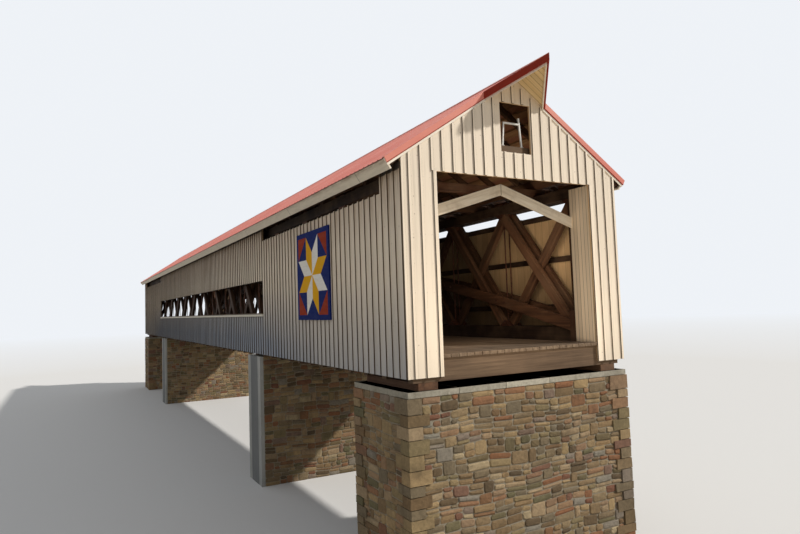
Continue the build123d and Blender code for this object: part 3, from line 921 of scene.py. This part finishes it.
def stones_in(u0, u1, z0, z1):
    """One band's stretch of wall as one tall stone, a stacked pair or three stones."""
    draw = random.random()
    split_z = z0 + (z1 - z0) * random.uniform(0.36, 0.64)
    split_u = u0 + (u1 - u0) * random.uniform(0.36, 0.64)
    if draw < 0.16 and u1 - u0 < 0.24:
        return [(u0, u1, z0, z1)]
    if draw < 0.5 or u1 - u0 < 0.2:
        return [(u0, u1, z0, split_z), (u0, u1, split_z, z1)]
    if draw < 0.68:
        return [(u0, u1, z0, split_z), (u0, split_u, split_z, z1), (split_u, u1, split_z, z1)]
    if draw < 0.86:
        return [(u0, split_u, z0, split_z), (split_u, u1, z0, split_z), (u0, u1, split_z, z1)]
    return [(u0, split_u, z0, z1), (split_u, u1, z0, split_z), (split_u, u1, split_z, z1)]


def stone_face(shape, origin, along, out, width, height, inset):
    """Rubble over one face, in uneven bands between its ends."""
    face = (Vector(origin), Vector(along), Vector(out), height)
    half = joint / 2
    z = 0.0
    while z < height - 0.001:
        band = random.uniform(band_low, band_high)
        if height - z - band < shortest_stone:
            band = height - z
        u = inset
        while u < width - inset - 0.001:
            run = random.uniform(stone_short, stone_long)
            if width - inset - (u + run) < shortest_stone:
                run = width - inset - u
            for u0, u1, z0, z1 in stones_in(u, u + run, z, z + band):
                stone(shape, face, u0 + half, u1 - half, z0 + half, z1 - half)
            u += run
        z += band


def corner_stones(shape, x, y, in_x, in_y, height):
    """Squared stones at a corner, long and short by turns on each face."""
    jog = lambda: random.uniform(-0.004, 0.004)
    z = 0.0
    long_on_x = True
    while z < height - 0.02:
        rise = random.uniform(0.09, 0.16)
        if height - z - rise < lowest_quoin:
            rise = height - z
        tooth = quoin_tooth + random.uniform(-0.04, 0.03)
        reach_x, reach_y = (tooth, quoin_reach) if long_on_x else (quoin_reach, tooth)
        proud = random.uniform(0.0205, 0.0255)
        x0, x1 = (x - in_x * proud, x + in_x * reach_x)
        y0, y1 = (y - in_y * proud, y + in_y * reach_y)
        ring = [(x0, y0), (x1, y0), (x1, y1), (x0, y1)]
        if in_x * in_y < 0:
            ring.reverse()
        lower = [(px + jog(), py + jog(), z + 0.004) for px, py in ring]
        upper = [(px + jog(), py + jog(), z + rise - 0.005) for px, py in ring]
        shape.add_solid(lower, upper)
        z += rise
        long_on_x = not long_on_x


# Rubble, corner stones and dressed cap slabs of the abutments
stones = Shape()
height = abutment_high.z - cap_height
width = 2 * half_width
cap_reach = half_width + cap_proud
slab = 2 * cap_reach / cap_slabs
for end in (-1, 1):
    outer = end * half_length
    inner = end * (half_length - abutment_length)
    for y, out in ((outer, end), (inner, -end)):
        stone_face(stones, (-half_width, y, 0), (1, 0, 0), (0, out, 0), width, height, quoin_reach)
        for side in (-1, 1):
            corner_stones(stones, side * half_width, y, -side, -out, height)
    y0, y1 = sorted((outer, inner))
    for side in (-1, 1):
        start = (side * half_width, y0, 0)
        stone_face(stones, start, (0, 1, 0), (side, 0, 0), abutment_length, height, quoin_reach)
    for k in range(cap_slabs):
        x0 = -cap_reach + k * slab + cap_joint / 2
        x1 = x0 + slab - cap_joint
        stones.add_box((x0, y0 - cap_proud, height), (x1, y1 + cap_proud, height + cap_height), 1)
stones.piece("abutment_masonry", ["rubble_stone", "cap_stone"])

# Rubble on the two broad faces of each pier; its corners and ends are cast concrete
rubble = Shape()
half = pier_high.x
for end in (-1, 1):
    for out in (-1, 1):
        origin = (-half, end * (half_length - pier_inset) + out * pier_half, 0)
        stone_face(rubble, origin, (1, 0, 0), (0, out, 0), 2 * half, pier_high.z, pier_corner)
rubble.piece("pier_masonry", ["rubble_stone"])


# Deck planks, laid along the bridge

plank_rows = 22
plank_gap = 0.004
plank_end_gap = 0.003
shortest_plank = 0.6
plank_lengths = (1.7, 2.6)

planks = Shape()
row_width = 2 * door_half / plank_rows
for row in range(plank_rows):
    left = -door_half + row * row_width
    x0 = left + plank_gap / 2
    x1 = left + row_width - plank_gap / 2
    y = -half_length
    while y < half_length - 0.01:
        run = min(random.uniform(*plank_lengths), half_length - y)
        if half_length - y - run < shortest_plank:
            run = half_length - y
        dip = random.uniform(0.0, 0.002)
        planks.add_box((x0, y, deck_low.z), (x1, y + run - plank_end_gap, deck_high.z - dip))
        y += run
planks.piece("deck_planks", ["plank_wood"], 0.003, replaces=["deck"])


# Nuts on the truss rods and bolts through the arches

rod_lines = (1.2525, 1.3395)
nut_radius = 0.017
nut_height = 0.013
rod_radius = 0.0095
rod_end = 0.022
bolt_radius = 0.015
bolt_height = 0.010
bolt_shift = 0.09
arch_half_span = half_length - 0.440
arch_springing = base + 0.440
arch_rise = 1.430
arch_radius = (arch_half_span ** 2 + arch_rise ** 2) / (2 * arch_rise)
node_panel = 2 * (half_length - first_node) / panel_count
panel_points = [-half_length + first_node + node_panel * k for k in range(1, panel_count)]

nuts = Shape()
for y in panel_points:
    for side in (-1, 1):
        for x in rod_lines:
            for z, way in ((iron_high.z, 1), (iron_low.z, -1)):
                up = Vector((0, 0, way))
                seat = Vector((side * x, y, z))
                nuts.add_prism(seat, nut_radius, nut_height, up)
                nuts.add_prism(seat, rod_radius, rod_end, up, sides=10)
nuts.piece("rod_nuts", ["old_iron"], 0.001)

bolts = Shape()
for point in panel_points:
    for side in (-1, 1):
        for y in (point - bolt_shift, point + bolt_shift):
            z = arch_springing + arch_rise - arch_radius + math.sqrt(arch_radius ** 2 - y ** 2)
            seat = Vector((side * arch_low.x, y, z))
            bolts.add_prism(seat, bolt_radius, bolt_height, Vector((-side, 0, 0)))
bolts.piece("arch_bolts", ["old_iron"], 0.001)


# Painted panel: a traditional eight-pointed star block

panel_border = 0.070
centre_y = (panel_low.y + panel_high.y) / 2
centre_z = (panel_low.z + panel_high.z) / 2
half = (panel_high.y - panel_low.y) / 2
edge = half - panel_border
arm = edge * 2 / (2 + math.sqrt(2))
inner = arm / math.sqrt(2)
star = Shape()


def spot(u, v):
    """A place on the panel seen from outside the wall, u to the right and v up."""
    return (panel_low.x, centre_y - u, centre_z + v)


def patch(points, finish, turns=0):
    """A patch of one colour, turned about the middle by quarter turns."""
    cos, sin = math.cos(turns * math.pi / 2), math.sin(turns * math.pi / 2)
    turned = [spot(u * cos - v * sin, u * sin + v * cos) for u, v in points]
    star.add(turned, [tuple(range(len(points)))], finish, 0.5)


rays = [(arm * math.cos(k * math.pi / 4), arm * math.sin(k * math.pi / 4)) for k in range(9)]
for k in range(8):
    (ax, ay), (bx, by) = rays[k:k + 2]
    patch([(0, 0), (ax, ay), (ax + bx, ay + by), (bx, by)], (1, 3)[k % 2])
for k in range(4):
    patch([(inner, inner), (edge, inner), (inner, edge)], 0, k)
    patch([(edge, inner), (edge, edge), (inner, edge)], 2, k)
    patch([(arm, 0), (edge, -inner), (edge, inner)], 0, k)
    patch([(edge, -edge), (half, -half), (half, half), (edge, edge)], 0, k)
front = [spot(-half, -half), spot(half, -half), spot(half, half), spot(-half, half)]
back = [(panel_high.x, y, z) for _, y, z in front]
faces = [(3, 2, 1, 0)] + [(i, (i + 1) % 4, 4 + (i + 1) % 4, 4 + i) for i in range(4)]
star.add(back + front, faces, 0, 0.5)
paints = ["panel_navy", "panel_gold", "panel_rust", "panel_white"]
star.piece("star_panel", paints, replaces=["quilt_panel"])


# Feet and bolts of the white bracket

foot_half = 0.024
foot_height = 0.004
foot_lip = 0.003
foot_inset = 0.010
foot_bolt_shift = 0.017
bar_bolt_x = 0.112
bar_bolt_z = base + 2.840
bolt_head = 0.004
foot_bolt_radius = 0.005
bar_bolt_radius = 0.006

feet = Shape()
foot = bracket_low.z
top = foot + foot_height
y0 = bracket_low.y
y1 = bracket_high.y
for side in (-1, 1):
    x = side * (bracket_high.x - foot_inset)
    feet.add_box((x - foot_half, y0 - foot_lip, foot), (x + foot_half, y1 + foot_lip, top))
    for shift in (-foot_bolt_shift, foot_bolt_shift):
        seat = Vector((x + shift, (y0 + y1) / 2, top))
        feet.add_prism(seat, foot_bolt_radius, bolt_head, Vector((0, 0, 1)))
    seat = Vector((side * bar_bolt_x, y0, bar_bolt_z))
    feet.add_prism(seat, bar_bolt_radius, bolt_head, Vector((0, -1, 0)))
feet.piece("bracket_feet", ["white_enamel"], 0.001)


# Stage, lights and camera

backdrop_colour = (0.86, 0.89, 0.93, 1.0)
stage_reach = 400.0
haze_start = 24.0
haze_end = 110.0


def seen_directly(tree):
    """1 for rays that show the backdrop itself: to the camera, in a gloss or through glass."""
    rays = tree.nodes.new("ShaderNodeLightPath")
    share = Value(tree, rays.outputs["Is Camera Ray"])
    for kind in ("Is Glossy Ray", "Is Transmission Ray"):
        share = share.math("MAXIMUM", Value(tree, rays.outputs[kind]))
    return share


def show(tree, output, share, first, second):
    """Mixes what one node and one value give, at the end of a material or world."""
    mix = shader_node(tree, "MixShader", 0, {0: share, 1: Value(tree, first.outputs[0]), 2: second})
    tree.links.new(mix.socket, tree.nodes[output].inputs["Surface"])


def light(name, kind, energy, tint, way, place=(0, 0, 0)):
    """A lamp that shines one way."""
    lamp = bpy.data.lights.new(name, kind)
    lamp.energy = energy
    lamp.color = tint
    made = new_object(name, lamp)
    made.location = place
    made.rotation_euler = (-Vector(way)).to_track_quat("Z", "Y").to_euler()
    return made


def soft_panel(name, size, place, way):
    """A warm area lamp that isn't seen itself."""
    panel = light(name, "AREA", 17.0, (1.0, 0.88, 0.72), way, place)
    panel.data.shape = "RECTANGLE"
    panel.data.size, panel.data.size_y = size
    panel.visible_camera = False
    panel.visible_glossy = False


# A pale floor that keeps the bridge's shadow and fades into the backdrop far away
mesh = bpy.data.meshes.new("stage_floor")
corners = [(x * stage_reach, y * stage_reach, 0) for x, y in ((-1, -1), (1, -1), (1, 1), (-1, 1))]
mesh.from_pydata(corners, [], [(0, 1, 2, 3)])
floor = new_object("stage_floor", mesh)
paper = Finish("stage_paper", 0.9, specular=0.1)
floor.data.materials.append(paper.material)
direct = seen_directly(paper.tree)
tints = {0: direct, 6: (0.44, 0.41, 0.36, 1.0), 7: (0.80, 0.79, 0.77, 1.0)}
paper.paint(paper.node("Mix", 2, tints, data_type="RGBA"))
distance = paper.node("VectorMath", "Value", {0: paper.place}, operation="LENGTH")
share = distance.between(haze_start, haze_end).math("POWER", 0.6) * direct
haze = paper.node("Emission", 0, {"Color": backdrop_colour})
show(paper.tree, "Material Output", share, paper.bsdf, haze)

# Sun from the right of the portal, an even pale sky, and warm fills at and before each doorway
sun = light("soft_sun", "SUN", 3.0, (1.0, 0.965, 0.91), (-0.64, 0.48, -0.59))
sun.data.angle = math.radians(2)
for end in (-1, 1):
    soft_panel("doorway_fill", (1.8, 0.7), (0, end * (half_length - 0.40), base + 1.35), (0, -end, 0))
    soft_panel("ground_fill", (2.0, 0.4), (0, end * (half_length + 0.90), base + 0.15), (0, -end * 0.5, 0.87))
world = bpy.data.worlds.new("pale_sky")
bpy.context.scene.world = world
world.use_nodes = True
tree = world.node_tree
sky = tree.nodes["Background"]
sky.inputs["Color"].default_value = (0.93, 0.96, 1.0, 1.0)
sky.inputs["Strength"].default_value = 0.41
backdrop = shader_node(tree, "Background", 0, {"Color": backdrop_colour})
show(tree, "World Output", seen_directly(tree), sky, backdrop)

# The photograph's viewpoint, fitted to the bridge's own edges
yaw = math.radians(28.73)
pitch = math.radians(3.91)
roll = math.radians(1.99)
ahead = Vector((math.sin(yaw) * math.cos(pitch), math.cos(yaw) * math.cos(pitch), math.sin(pitch)))
level = Vector((math.cos(yaw), -math.sin(yaw), 0))
right = level * math.cos(roll) - level.cross(ahead) * math.sin(roll)
turn = Matrix((right, right.cross(ahead), -ahead)).transposed()
lens = bpy.data.cameras.new("photo_camera")
lens.sensor_width = 36.0
lens.lens = 27.33
lens.clip_start = 0.05
lens.clip_end = 1000.0
camera = new_object("photo_camera", lens)
camera.matrix_world = Matrix.Translation((-4.557, -17.2095, 3.0473)) @ turn.to_4x4()
bpy.context.scene.camera = camera
bpy.context.scene.view_settings.view_transform = "Standard"
